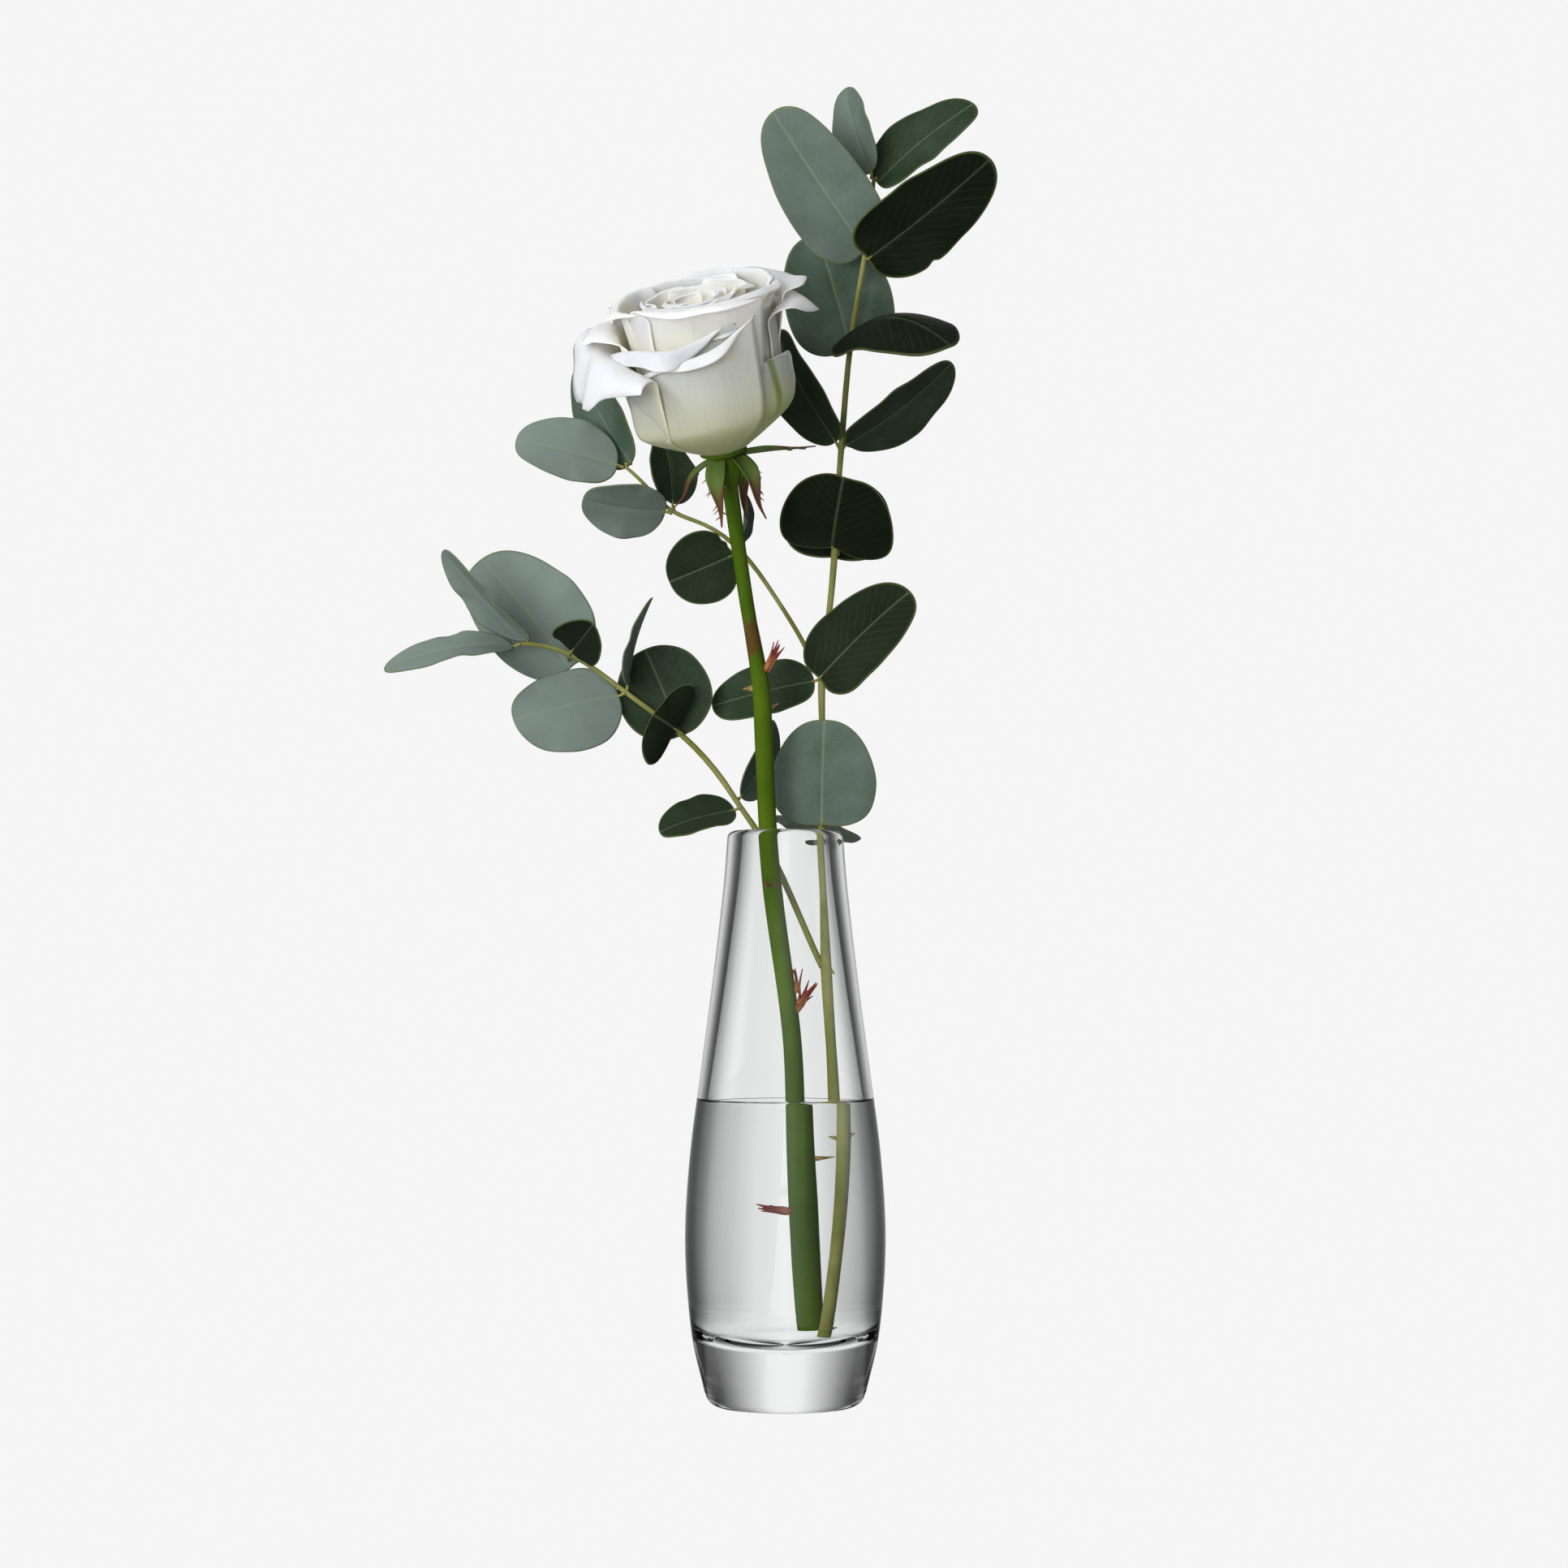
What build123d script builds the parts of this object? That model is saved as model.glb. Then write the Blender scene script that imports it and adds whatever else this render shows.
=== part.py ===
"""A small glass bud vase holding water, one cut garden rose and one spray of eucalyptus.

Millimetres. The origin is the centre of the vase's flat base, +Z is up, and -Y is the front.
Every physical piece is a solid of its own, written to parts/NODE.step.
"""

from build123d import *
import math
import os

# ---------------------------------------------------------------- driving dimensions
VASE_HEIGHT = 170.0
BELLY_RADIUS = 29.7
BELLY_Z = 48.0
RIM_OUTER_RADIUS = 17.3
RIM_INNER_RADIUS = 12.8
FOOT_RADIUS = 19.0
BOWL_FLOOR_Z = 18.0
BOWL_CORNER_Z = 29.0
WATER_LEVEL_Z = 89.0
WATER_GAP = 0.1
STEM_GAP_IN_WATER = 0.25

LEAF_THICKNESS = 0.45
PETIOLE_RADIUS = 0.55
PETIOLE_LENGTH = 1.6
PETIOLE_SINK = 0.4
PETAL_THICKNESS = 0.6
THORN_TIP_RADIUS = 0.12
BANDS_PER_SPAN = 4

# The walls of the vase, as (radius, height) from the foot's corner up to the lip.
OUTER_WALL = [
    (23.9, 4.6),
    (27.8, 22.0),
    (BELLY_RADIUS, BELLY_Z),
    (28.3, 74.0),
    (24.9, 100.5),
    (21.5, 126.5),
    (18.5, 152.6),
]
INNER_WALL = [
    (25.4, BOWL_CORNER_Z),
    (26.9, BELLY_Z),
    (25.4, 74.0),
    (21.6, 100.5),
    (17.8, 126.5),
    (14.3, 152.6),
]

# Stems, as (x, y, z, radius) from the cut end up.
ROSE_STEM = [
    (5.2, 9.0, 21.5, 2.75),
    (4.3, 7.4, 42.0, 3.0),
    (3.7, 6.0, 60.0, 3.1),
    (3.1, 4.6, 79.0, 2.95),
    (2.2, 2.6, 105.8, 2.8),
    (-0.4, 0.6, 127.5, 2.75),
    (-3.7, -1.6, 151.7, 2.85),
    (-5.2, -3.4, 170.5, 2.7),
    (-6.5, -6.0, 200.0, 2.75),
    (-7.4, -7.4, 213.0, 2.6),
    (-10.4, -9.2, 231.0, 2.1),
    (-13.8, -12.0, 253.0, 2.15),
    (-16.3, -14.8, 271.0, 2.4),
]
MAIN_TWIG = [
    (9.4, -9.0, 20.5, 1.75),
    (12.3, -8.4, 45.0, 1.65),
    (14.3, -6.8, 78.7, 1.9),
    (13.4, -3.6, 105.8, 1.5),
    (12.2, -0.2, 128.5, 1.7),
    (11.6, 2.0, 151.7, 1.15),
    (10.9, 3.0, 171.0, 1.25),
    (11.0, 6.0, 203.5, 0.95),
    (11.0, 8.0, 216.0, 1.15),
    (13.0, 9.5, 234.5, 0.9),
    (15.0, 11.0, 256.5, 1.05),
    (16.0, 12.0, 274.0, 0.8),
    (17.0, 13.0, 287.0, 0.95),
    (20.0, 14.0, 320.0, 0.85),
    (24.5, 15.0, 348.0, 0.75),
    (27.0, 15.0, 370.0, 0.6),
]
LOW_TWIG = [
    (11.0, 0.8, 129.6, 0.95),
    (6.6, 3.7, 139.5, 0.95),
    (-0.5, 6.3, 155.5, 1.0),
    (-9.0, 6.4, 171.0, 0.9),
    (-13.5, 6.0, 177.5, 0.8),
    (-18.5, 6.0, 185.0, 0.9),
    (-31.0, 7.0, 199.0, 0.85),
    (-48.0, 7.0, 212.0, 0.75),
    (-65.0, 7.0, 223.5, 0.7),
    (-79.5, 6.0, 226.5, 0.6),
]
HIGH_TWIG = [
    (10.0, 8.6, 217.0, 0.75),
    (6.0, 9.0, 226.0, 0.7),
    (-3.0, 10.0, 241.0, 0.65),
    (-13.5, 10.0, 255.0, 0.7),
    (-24.5, 9.5, 263.0, 0.6),
    (-34.0, 9.0, 267.0, 0.65),
    (-42.0, 8.5, 274.5, 0.55),
    (-48.5, 8.0, 280.5, 0.5),
]

# Leaves: twig point, tip, width, the way the upper face looks, then
# cup (edges lifted towards the face), arch (middle lifted), lobe (blade behind its base) and
# side (1 lies in front of the twig, -1 behind it, 0 starts beside it).
LEAVES = {
    "main_leaf_1": ((11.2, 3.1, 172.0), (12.5, 1.2, 203.0), 32, (-0.28, -1.0, 0.05), -2.0, 1.0, 2.5, 1),
    "main_leaf_2": ((11.0, 3.3, 173.5), (8.0, 32.0, 169.0), 27, (0.25, 0.1, 1.0), -1.5, 1.5, 0, 0),
    "main_leaf_3": ((11.0, 8.0, 216.0), (38.0, 3.0, 241.5), 24, (-0.2, -1.0, 0.3), 1.5, 2.0, 4.0, 1),
    "main_leaf_4": ((11.0, 8.0, 216.0), (-22.0, 15.0, 208.0), 18, (0.1, -0.9, 0.45), 1.5, 1.5, 0, 0),
    "main_leaf_5": ((15.0, 11.0, 256.5), (17.5, -1.0, 277.0), 35, (0.0, -0.8, 0.6), -3.5, 2.0, 5.5, 1),
    "main_leaf_6": ((15.0, 11.0, 256.5), (17.5, 26.0, 282.5), 33, (0.0, -0.9, -0.3), 2.0, 2.0, 3.0, -3.2),
    "main_leaf_7": ((17.0, 13.0, 287.0), (-2.5, 13.0, 322.5), 25, (-0.85, -0.5, -0.3), 2.5, 2.0, 0, 0),
    "main_leaf_8": ((17.0, 13.0, 287.0), (50.5, 8.0, 312.0), 24, (0.5, -0.5, -0.75), 2.0, 2.0, 0, 0),
    "main_leaf_9": ((20.0, 14.0, 320.0), (49.0, -9.0, 311.0), 33, (-0.25, -0.35, 0.9), -6.0, 7.0, 3.0, 1),
    "main_leaf_10": ((20.0, 14.0, 320.0), (11.0, 22.0, 357.0), 33, (0.1, -1.0, 0.1), 1.5, 2.0, 4.5, -4.0),
    "main_leaf_11": ((24.5, 15.0, 348.0), (-3.0, 8.0, 389.5), 27, (-0.4, -0.9, 0.1), 2.5, 2.5, 5.0, 1),
    "main_leaf_12": ((24.5, 15.0, 348.0), (61.0, 3.0, 375.0), 26, (0.3, -0.9, -0.35), 2.0, 2.5, 5.0, 3.4),
    "main_leaf_13": ((27.0, 15.0, 370.0), (57.5, 14.0, 393.5), 21, (0.1, -0.7, 0.7), 2.0, 2.0, 2.0, -1),
    "main_leaf_14": ((27.0, 15.0, 370.0), (18.5, 21.0, 399.0), 17, (-0.8, -0.6, 0.0), 1.5, 1.5, 0, 0),
    "low_leaf_1": ((-13.0, 6.0, 177.0), (-37.5, 1.0, 169.5), 15, (-0.2, -0.75, 0.65), 1.5, 1.5, 0, 0),
    "low_leaf_2": ((-14.5, 6.0, 179.0), (-3.0, 20.0, 203.5), 16, (0.9, -0.1, 0.3), 1.5, 1.5, 0, 0),
    "low_leaf_3": ((-31.0, 7.0, 199.0), (-39.5, 1.0, 205.0), 28, (-0.35, -0.85, 0.35), 1.5, 1.0, 0, 0),
    "low_leaf_4": ((-31.0, 7.0, 199.0), (-42.5, 14.0, 226.0), 28, (0.0, -1.0, 0.1), 2.0, 2.0, 0, -1),
    "low_leaf_5": ((-48.0, 7.0, 212.0), (-81.0, 0.0, 202.5), 28, (-0.15, -0.9, 0.35), -4.5, 1.5, 0, 0),
    "low_leaf_6": ((-48.0, 7.0, 212.0), (-39.5, 2.0, 240.0), 17, (-0.95, 0.0, 0.2), 1.5, 1.5, 0, 0),
    "low_leaf_7": ((-65.0, 7.0, 223.5), (-57.0, -7.0, 231.0), 16, (-0.5, -0.5, -0.7), 2.5, 1.0, 0, 0),
    "low_leaf_8": ((-65.0, 7.0, 223.5), (-93.0, 18.0, 256.0), 32, (0.15, -1.0, 0.1), 3.0, 3.0, 3.0, -4.6),
    "low_leaf_9": ((-79.5, 6.0, 226.5), (-119.5, -3.0, 217.0), 17, (-0.1, -0.5, 0.85), 0.8, 3.0, 0, 0),
    "low_leaf_10": ((-75.5, 6.5, 225.8), (-101.5, -5.0, 254.0), 17, (-0.6, -0.4, -0.6), 2.0, 1.5, 0, 0),
    "high_leaf_1": ((-13.5, 10.0, 255.0), (-35.0, 14.0, 246.0), 22, (-0.1, -1.0, -0.2), 1.5, 1.5, 0, 0),
    "high_leaf_2": ((-13.5, 10.0, 255.0), (-13.0, 9.5, 274.0), 15, (0.97, -0.1, 0.0), 1.5, 1.0, 0, 0),
    "high_leaf_3": ((-34.0, 9.0, 267.0), (-61.0, 3.0, 269.5), 19, (-0.1, -0.75, -0.6), 1.5, 1.5, 0, 0),
    "high_leaf_4": ((-34.0, 9.0, 267.0), (-37.5, 14.0, 289.5), 18, (0.65, -0.7, 0.0), 1.5, 1.5, 0, 0),
    "high_leaf_5": ((-48.5, 8.0, 280.5), (-81.0, 2.0, 287.0), 21, (-0.1, -0.9, 0.4), 1.5, 1.5, 0, 0),
    "high_leaf_6": ((-48.5, 8.0, 280.5), (-65.0, 17.0, 312.5), 20, (-0.65, -0.75, -0.3), 1.5, 1.5, 0, -1.5),
}

# Sepals: hip point, tip and width. They hang below the bloom.
SEPALS = {
    "sepal_1": ((-20.5, -20.5, 280.0), (-18.5, -25.5, 257.5), 6.0),
    "sepal_2": ((-14.5, -20.0, 281.0), (-5.5, -22.5, 260.5), 6.5),
    "sepal_3": ((-15.4, -17.9, 281.0), (9.0, -19.0, 282.5), 4.5),
    "sepal_4": ((-20.6, -17.0, 280.4), (-33.0, -18.5, 264.0), 4.0),
    "sepal_5": ((-16.6, -14.2, 280.8), (-11.0, -6.0, 262.0), 5.0),
}

SEPAL_FACING = (-0.1, -1.0, -0.2)
SEPAL_CUP = 0.6
SEPAL_ARCH = 0.8
SEPAL_INSET = 0.6
SEPAL_SLIM = 0.9

# The bloom stands on the hip and leans forward and a little left.
HIP_BASE = (-16.3, -14.8, 271.0)
BLOOM_AXIS = (-0.17, -0.42, 0.89)
HIP_LENGTH = 11.0
HIP_RADIUS = 4.6
RECEPTACLE_RADIUS = 7.0
RECEPTACLE_HEIGHT = 1.6
# One ring of petals each: count, foot radius, widest radius, lip radius, lip height, first angle.
PETAL_RINGS = {
    "outer": (5, 6.2, 29.0, 33.0, 36.0, -125.0),
    "middle": (5, 5.2, 25.0, 26.5, 42.0, -90.0),
    "inner": (5, 4.2, 21.0, 19.5, 44.5, -60.0),
    "heart": (4, 3.2, 15.5, 13.0, 44.0, -100.0),
    "core": (3, 2.2, 9.5, 7.0, 42.5, -30.0),
}
PETAL_FILL = 0.9

# Small growths: foot, direction, length and radius.
THORNS = [
    ((4.6, 5.0, 72.0), (1.0, -0.1, 0.12), 6.0, 1.0),
    ((-9.2, -7.2, 212.0), (-1.0, -0.3, -0.1), 3.6, 1.3),
    ((-5.2, -5.2, 206.0), (1.0, -0.1, 0.5), 3.6, 0.9),
]
SIDE_BUDS = [
    ((1.2, 5.8, 57.0), (-1.0, -0.25, 0.15), 9.0, 1.7),
    ((-4.9, -4.0, 153.5), (-0.35, -1.0, 0.4), 3.2, 1.4),
    ((-5.6, -9.2, 218.0), (0.55, -0.5, 1.0), 12.0, 1.5),
]
TORN_KNOB = ((3.6, 1.0, 118.0), (0.55, -0.05, 1.0), 11.0, 1.8)
TORN_FIBRES = [
    ((5.0, 0.7, 120.5), (0.15, -0.1, 1.0), 8.5, 0.55),
    ((5.0, 0.7, 120.5), (0.55, -0.1, 1.0), 7.5, 0.55),
    ((5.0, 0.7, 120.5), (0.9, -0.1, 1.0), 6.5, 0.55),
]
# Stubs on the eucalyptus where leaves were stripped: two at a node and one low, under water, and
# one torn leaf at the fork.
TWIG_STUBS = [
    ((12.9, -7.2, 78.7), (-1.0, -0.3, 0.25), 2.6, 0.8),
    ((15.6, -6.6, 79.5), (1.0, 0.1, 0.45), 1.9, 0.8),
    ((13.0, -0.3, 129.0), (0.75, -0.1, -0.65), 2.4, 0.9),
    ((10.4, -8.6, 23.5), (1.0, 0.3, 0.35), 2.4, 0.8),
]
# Room in the water round the thorn and the bud (centre, turn, radius, length), and round the stubs.
BUD_HOLLOWS = [
    ((7.8, 5.0, 72.0), (0, 90, 0), 1.5, 7.4),
    ((-1.6, 5.2, 57.6), (0, -81, 14), 2.3, 8.0),
]
STUB_HOLLOWS = [
    ((14.3, -6.8, 79.5), 4.2),
    ((11.3, -8.4, 24.0), 2.9),
]


def unit(vector):
    """The vector at length 1."""
    return vector / vector.length


# ---------------------------------------------------------------- the vase and its water
def glass_section():
    """Half of the vase, cut down its axis: flat foot, rounded corner, belly, lip and bowl floor."""
    lip_z = VASE_HEIGHT - (RIM_OUTER_RADIUS - RIM_INNER_RADIUS) / 2
    lip_middle = (RIM_OUTER_RADIUS + RIM_INNER_RADIUS) / 2
    outer = OUTER_WALL + [(RIM_OUTER_RADIUS, lip_z)]
    inner = INNER_WALL + [(RIM_INNER_RADIUS, lip_z)]
    with BuildSketch(Plane.XZ) as section:
        with BuildLine():
            Line((0, 0), (FOOT_RADIUS, 0))
            Spline((FOOT_RADIUS, 0), (22.6, 1.5), outer[0], tangents=((1, 0), (0.25, 1)))
            Spline(*outer)
            ThreePointArc(outer[-1], (lip_middle, VASE_HEIGHT), inner[-1])
            Spline(*reversed(inner), (21.5, 22.0), (0, BOWL_FLOOR_Z), tangents=((0.05, -1), (-1, 0)))
            Line((0, BOWL_FLOOR_Z), (0, 0))
        make_face()
    return section.sketch


def bowl_section():
    """Half of the space inside the vase, drawn in by the gap that keeps water and glass apart."""
    inner = [(r - WATER_GAP, z) for r, z in INNER_WALL]
    with BuildSketch(Plane.XZ) as section:
        with BuildLine():
            wall = Spline(
                *reversed(inner), (21.4, 22.0 + WATER_GAP), (0, BOWL_FLOOR_Z + WATER_GAP),
                tangents=((0.13, -1), (-1, 0)),
            )
            Line(wall @ 1, (0, INNER_WALL[-1][1]))
            Line((0, INNER_WALL[-1][1]), wall @ 0)
        make_face()
    return section.sketch


def make_glass():
    """The one-piece glass vessel."""
    return revolve(glass_section(), axis=Axis.Z)


def make_water(stems):
    """The water, up to its level, with room for the stems that stand in it."""
    water = revolve(bowl_section(), axis=Axis.Z)
    above = Pos(0, 0, WATER_LEVEL_Z + 100) * Box(200, 200, 200)
    water = water - above
    for stem in stems:
        water = water - stem
    return water


# ---------------------------------------------------------------- stems and what grows on them
def tube(route, extra=0.0):
    """A round stem: rings along a smooth centre line through the route's points, their radius changing
    evenly from point to point, joined by straight-sided bands."""
    path = Spline(*[Vector(x, y, z) for x, y, z, _ in route])
    places = [path.param_at_point(Vector(x, y, z)) for x, y, z, _ in route]
    radii = [radius + extra for _, _, _, radius in route]
    rings = []
    for index in range(len(route) - 1):
        last_span = index == len(route) - 2
        for step in range(BANDS_PER_SPAN + last_span):
            share = step / BANDS_PER_SPAN
            along = places[index] * (1 - share) + places[index + 1] * share
            radius = radii[index] * (1 - share) + radii[index + 1] * share
            plane = Plane(origin=path @ along, x_dir=(0, 1, 0), z_dir=path % along)
            rings.append(plane * Circle(radius))
    return loft(rings, ruled=True)


def thorn(point, direction, length, radius):
    """A cone that grows out of a stem."""
    plane = Plane(origin=point, z_dir=direction)
    return plane * Pos(0, 0, length / 2) * Cone(radius, THORN_TIP_RADIUS, length)


def bud(point, direction, length, radius):
    """A small oval bud, from its foot in the stem to its tip."""
    plane = Plane(origin=point, z_dir=direction)
    upper_half = Pos(length / 2, radius / 2) * Rectangle(length * 2, radius)
    section = Ellipse(length / 2, radius) & upper_half
    return plane * Rot(0, -90, 0) * revolve(section, axis=Axis.X)


# ---------------------------------------------------------------- leaves and sepals
def blade_outline(length, width, lobe, slim):
    """An egg-shaped outline from base to tip. Lobe carries the blade back past its base."""
    steps = 7
    side = []
    for step in range(steps + 1):
        turn = math.pi * step / steps
        back = lobe * 1.6 * math.sin(turn) * math.cos(turn / 2) ** 2
        along = length * (1 - math.cos(turn)) / 2 - back
        across = width / 2 * math.sin(turn) ** slim * (1 + 0.12 * math.cos(turn))
        side.append((along, across))
    with BuildSketch() as outline:
        with BuildLine():
            Spline(*side)
            Spline(*[(x, -y) for x, y in side])
        make_face()
    return outline.sketch


def curved_slab(length, width, cup, arch, thickness):
    """A thin sheet, larger than the blade, that carries its cup and arch."""
    across_steps = (-0.7, -0.35, 0.0, 0.35, 0.7)
    along_steps = (-0.35, 0.0, 0.35, 0.7, 1.05, 1.25)
    rows = []
    for a in along_steps:
        row = []
        for c in across_steps:
            lift = cup * (2 * c) ** 2 + arch * 4 * a * (1 - a)
            row.append(Vector(a * length, c * width, lift))
        rows.append(row)
    return Solid.thicken(Face.make_surface_from_array_of_points(rows), thickness)


def leaf(joint, tip, width, face, cup, arch, lobe, side, twig_radius=0.8, slim=0.8):
    """A thin blade on a short stalk, from its twig to its tip."""
    start, end, facing = Vector(*joint), Vector(*tip), Vector(*face)
    heading = unit(end - start)
    normal = unit(facing - heading * facing.dot(heading))
    clear = twig_radius + LEAF_THICKNESS + 0.35 + abs(cup) * 0.15
    base = start + heading * (twig_radius + PETIOLE_LENGTH)
    if side:
        base = start + normal * (side * clear) + heading * 0.6
    length = (end - base).length
    placed = Plane(origin=base, x_dir=unit(end - base), z_dir=normal)
    prism = extrude(blade_outline(length, width, lobe, slim), amount=25, both=True)
    blade = curved_slab(length, width, cup, arch, LEAF_THICKNESS) & prism
    blade = placed * blade
    foot = base + placed.x_dir * 2.0 + placed.z_dir * (arch * 8.0 / length + LEAF_THICKNESS / 2)
    stalk_way = unit(foot - start)
    stalk_start = start + stalk_way * max(twig_radius - PETIOLE_SINK, 0.2)
    stalk_length = (foot - stalk_start).length
    stalk = Plane(origin=stalk_start, z_dir=stalk_way) * Pos(0, 0, stalk_length / 2)
    return blade + stalk * Cylinder(PETIOLE_RADIUS, stalk_length)


# ---------------------------------------------------------------- the bloom
def bloom_plane():
    """The plane that the bloom stands on, at the top of the hip."""
    axis = unit(Vector(*BLOOM_AXIS))
    top = Vector(*HIP_BASE) + axis * HIP_LENGTH
    return Plane(origin=top, x_dir=(1, 0, 0.19), z_dir=axis)


def make_hip():
    """The green hip under the bloom, with the flat receptacle that carries the petals."""
    with BuildSketch(Plane.XZ) as section:
        with BuildLine():
            Line((0, -HIP_LENGTH), (2.35, -HIP_LENGTH))
            Spline(
                (2.35, -HIP_LENGTH), (HIP_RADIUS, -HIP_LENGTH * 0.45), (3.6, -1.5), (RECEPTACLE_RADIUS, 0),
                tangents=((0.5, 1), (1, 0.1)),
            )
            Line((RECEPTACLE_RADIUS, 0), (RECEPTACLE_RADIUS, RECEPTACLE_HEIGHT))
            Line((RECEPTACLE_RADIUS, RECEPTACLE_HEIGHT), (0, RECEPTACLE_HEIGHT))
            Line((0, RECEPTACLE_HEIGHT), (0, -HIP_LENGTH))
        make_face()
    return bloom_plane() * revolve(section.sketch, axis=Axis.Z)


def petal(foot, widest, lip, height, turn, span):
    """One cupped petal: a thin bowl section turned through part of a circle about the bloom's axis."""
    inner = [(foot, 1.2), ((foot + widest) / 2, height * 0.13), (widest, height * 0.5), (lip, height)]
    outer = [(r + PETAL_THICKNESS, z - PETAL_THICKNESS * 0.4) for r, z in inner]
    with BuildSketch(Plane.XZ) as section:
        with BuildLine():
            Spline(*inner)
            Line(inner[-1], outer[-1])
            Spline(*outer)
            Line(outer[0], inner[0])
        make_face()
    solid = revolve(section.sketch, axis=Axis.Z, revolution_arc=span)
    return bloom_plane() * Rot(0, 0, turn) * solid


def petal_ring(ring):
    """The petals of one ring, evenly spaced with a small gap between them."""
    count, foot, widest, lip, height, first = PETAL_RINGS[ring]
    step = 360 / count
    return [petal(foot, widest, lip, height, first + i * step, step * PETAL_FILL) for i in range(count)]


# ---------------------------------------------------------------- small growths
def torn_shoot():
    """The torn-off shoot inside the neck: a knob and the frayed fibres that stand out of it."""
    shoot = bud(*TORN_KNOB)
    for fibre in TORN_FIBRES:
        shoot = shoot + thorn(*fibre)
    return shoot


def growth_hollows():
    """Room in the water for what stands out from the stems below its level."""
    hollows = []
    for centre, turn, radius, length in BUD_HOLLOWS:
        hollows.append(Pos(*centre) * Rot(*turn) * Cylinder(radius, length))
    for centre, radius in STUB_HOLLOWS:
        hollows.append(Pos(*centre) * Sphere(radius))
    return hollows


def write(name, solids):
    """One STEP file for one node."""
    shapes = []
    for shape in solids if isinstance(solids, list) else [solids]:
        shapes.extend(shape.solids())
    whole = shapes[0] if len(shapes) == 1 else Compound(children=shapes)
    export_step(whole, f"parts/{name}.step")


def main():
    """Build every node and write it."""
    os.makedirs("parts", exist_ok=True)
    write("glass_body", make_glass())
    stem_hollows = [tube(ROSE_STEM, STEM_GAP_IN_WATER), tube(MAIN_TWIG, STEM_GAP_IN_WATER)]
    write("water", make_water(stem_hollows + growth_hollows()))
    write("rose_stem", tube(ROSE_STEM))
    write("rose_hip", make_hip())
    write("rose_thorns", [thorn(*place) for place in THORNS])
    write("rose_side_buds", [bud(*place) for place in SIDE_BUDS])
    write("torn_shoot", torn_shoot())
    for name, (joint, tip, width) in SEPALS.items():
        shape = (joint, tip, width, SEPAL_FACING, SEPAL_CUP, SEPAL_ARCH, 0, 0)
        write(name, leaf(*shape, twig_radius=SEPAL_INSET, slim=SEPAL_SLIM))
    for ring in ("outer", "middle"):
        for number, solid in enumerate(petal_ring(ring), start=1):
            write(f"{ring}_petal_{number}", solid)
    write("inner_petals", petal_ring("inner"))
    write("heart_petals", petal_ring("heart") + petal_ring("core"))
    write("eucalyptus_stem", tube(MAIN_TWIG))
    write("low_branch", tube(LOW_TWIG))
    write("high_branch", tube(HIGH_TWIG))
    write("twig_stubs", [thorn(*place) for place in TWIG_STUBS])
    for name, values in LEAVES.items():
        write(name, leaf(*values))


main()
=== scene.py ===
import math

import bpy
import numpy as np
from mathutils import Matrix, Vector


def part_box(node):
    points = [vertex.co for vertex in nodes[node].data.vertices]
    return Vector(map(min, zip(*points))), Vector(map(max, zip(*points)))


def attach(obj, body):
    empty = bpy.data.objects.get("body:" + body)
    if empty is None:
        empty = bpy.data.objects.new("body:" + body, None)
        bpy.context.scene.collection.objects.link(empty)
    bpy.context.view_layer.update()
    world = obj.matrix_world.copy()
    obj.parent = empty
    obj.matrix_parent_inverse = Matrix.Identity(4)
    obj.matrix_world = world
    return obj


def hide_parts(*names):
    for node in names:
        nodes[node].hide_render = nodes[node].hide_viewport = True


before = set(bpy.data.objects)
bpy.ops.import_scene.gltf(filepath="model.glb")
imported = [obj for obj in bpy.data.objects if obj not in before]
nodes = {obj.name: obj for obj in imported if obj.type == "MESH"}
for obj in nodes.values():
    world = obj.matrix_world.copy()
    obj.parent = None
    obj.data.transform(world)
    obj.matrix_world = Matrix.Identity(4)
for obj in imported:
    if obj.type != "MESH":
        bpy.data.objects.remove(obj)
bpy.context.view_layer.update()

# ---------------------------------------------------------------- sizes and places
# They are in metres where nothing else is said. The lens and its sensor are in mm.
MM = 0.001
CAMERA_PLACE = (0.0, -1.05, 0.125)
CAMERA_AIM = (-0.0004, 0.0, 0.184)
CAMERA_LENS = 81.0
SENSOR_WIDTH = 36.0

VASE_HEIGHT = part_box("glass_body")[1][2]
WATER_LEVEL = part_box("water")[1][2]
RIM_OUTER = 17.3 * MM
RIM_INNER = 12.8 * MM
# How far the drawn water reaches into the glass, and how its edge climbs the wall.
WATER_BITE = 0.12 * MM
MENISCUS_RISE = 1.5 * MM
MENISCUS_WIDTH = 5.12 * MM
MENISCUS_FALL = 4.0
# How many points draw each part of the vase's outline, and how many go round it.
CORNER_STEPS = 24
WALL_STEPS = 90
FINE_WALL_STEPS = 400
BOWL_STEPS = 48
GLASS_SPOKES = 160
WATER_SPOKES = 128

LEAF_THICKNESS = 0.4 * MM
PETAL_THICKNESS = 0.35 * MM
SEPAL_THICKNESS = 0.35 * MM
SCALE_THICKNESS = 0.3 * MM
# Parts of a CAD leaf nearer to its twig than this belong to the joint and not to the blade.
JOINT_REACH = 1.1 * MM
OUTLINE_DIRECTIONS = 60
MIDRIB_DEPTH = 0.35 * MM
MIDRIB_WIDTH = 0.9 * MM
STALK_RADII = (0.62 * MM, 0.3 * MM)
STALK_STEPS = 14
STALK_OVERLAP = 2.5 * MM
# Widths from foot to tip, in mm: of a sepal, of one tooth on its side, and of a bud's scale.
SEPAL_WIDTHS = np.array([4.6, 6.0, 6.2, 5.2, 3.6, 1.8, 0.8, 0.35])
TOOTH_WIDTHS = np.array([0.5, 0.3, 0.08])
SCALE_WIDTHS = np.array([1.7, 2.1, 1.4, 0.7, 0.15])
# How deep a sepal's foot is set into the hip.
SEPAL_ROOT = 0.8 * MM
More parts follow.
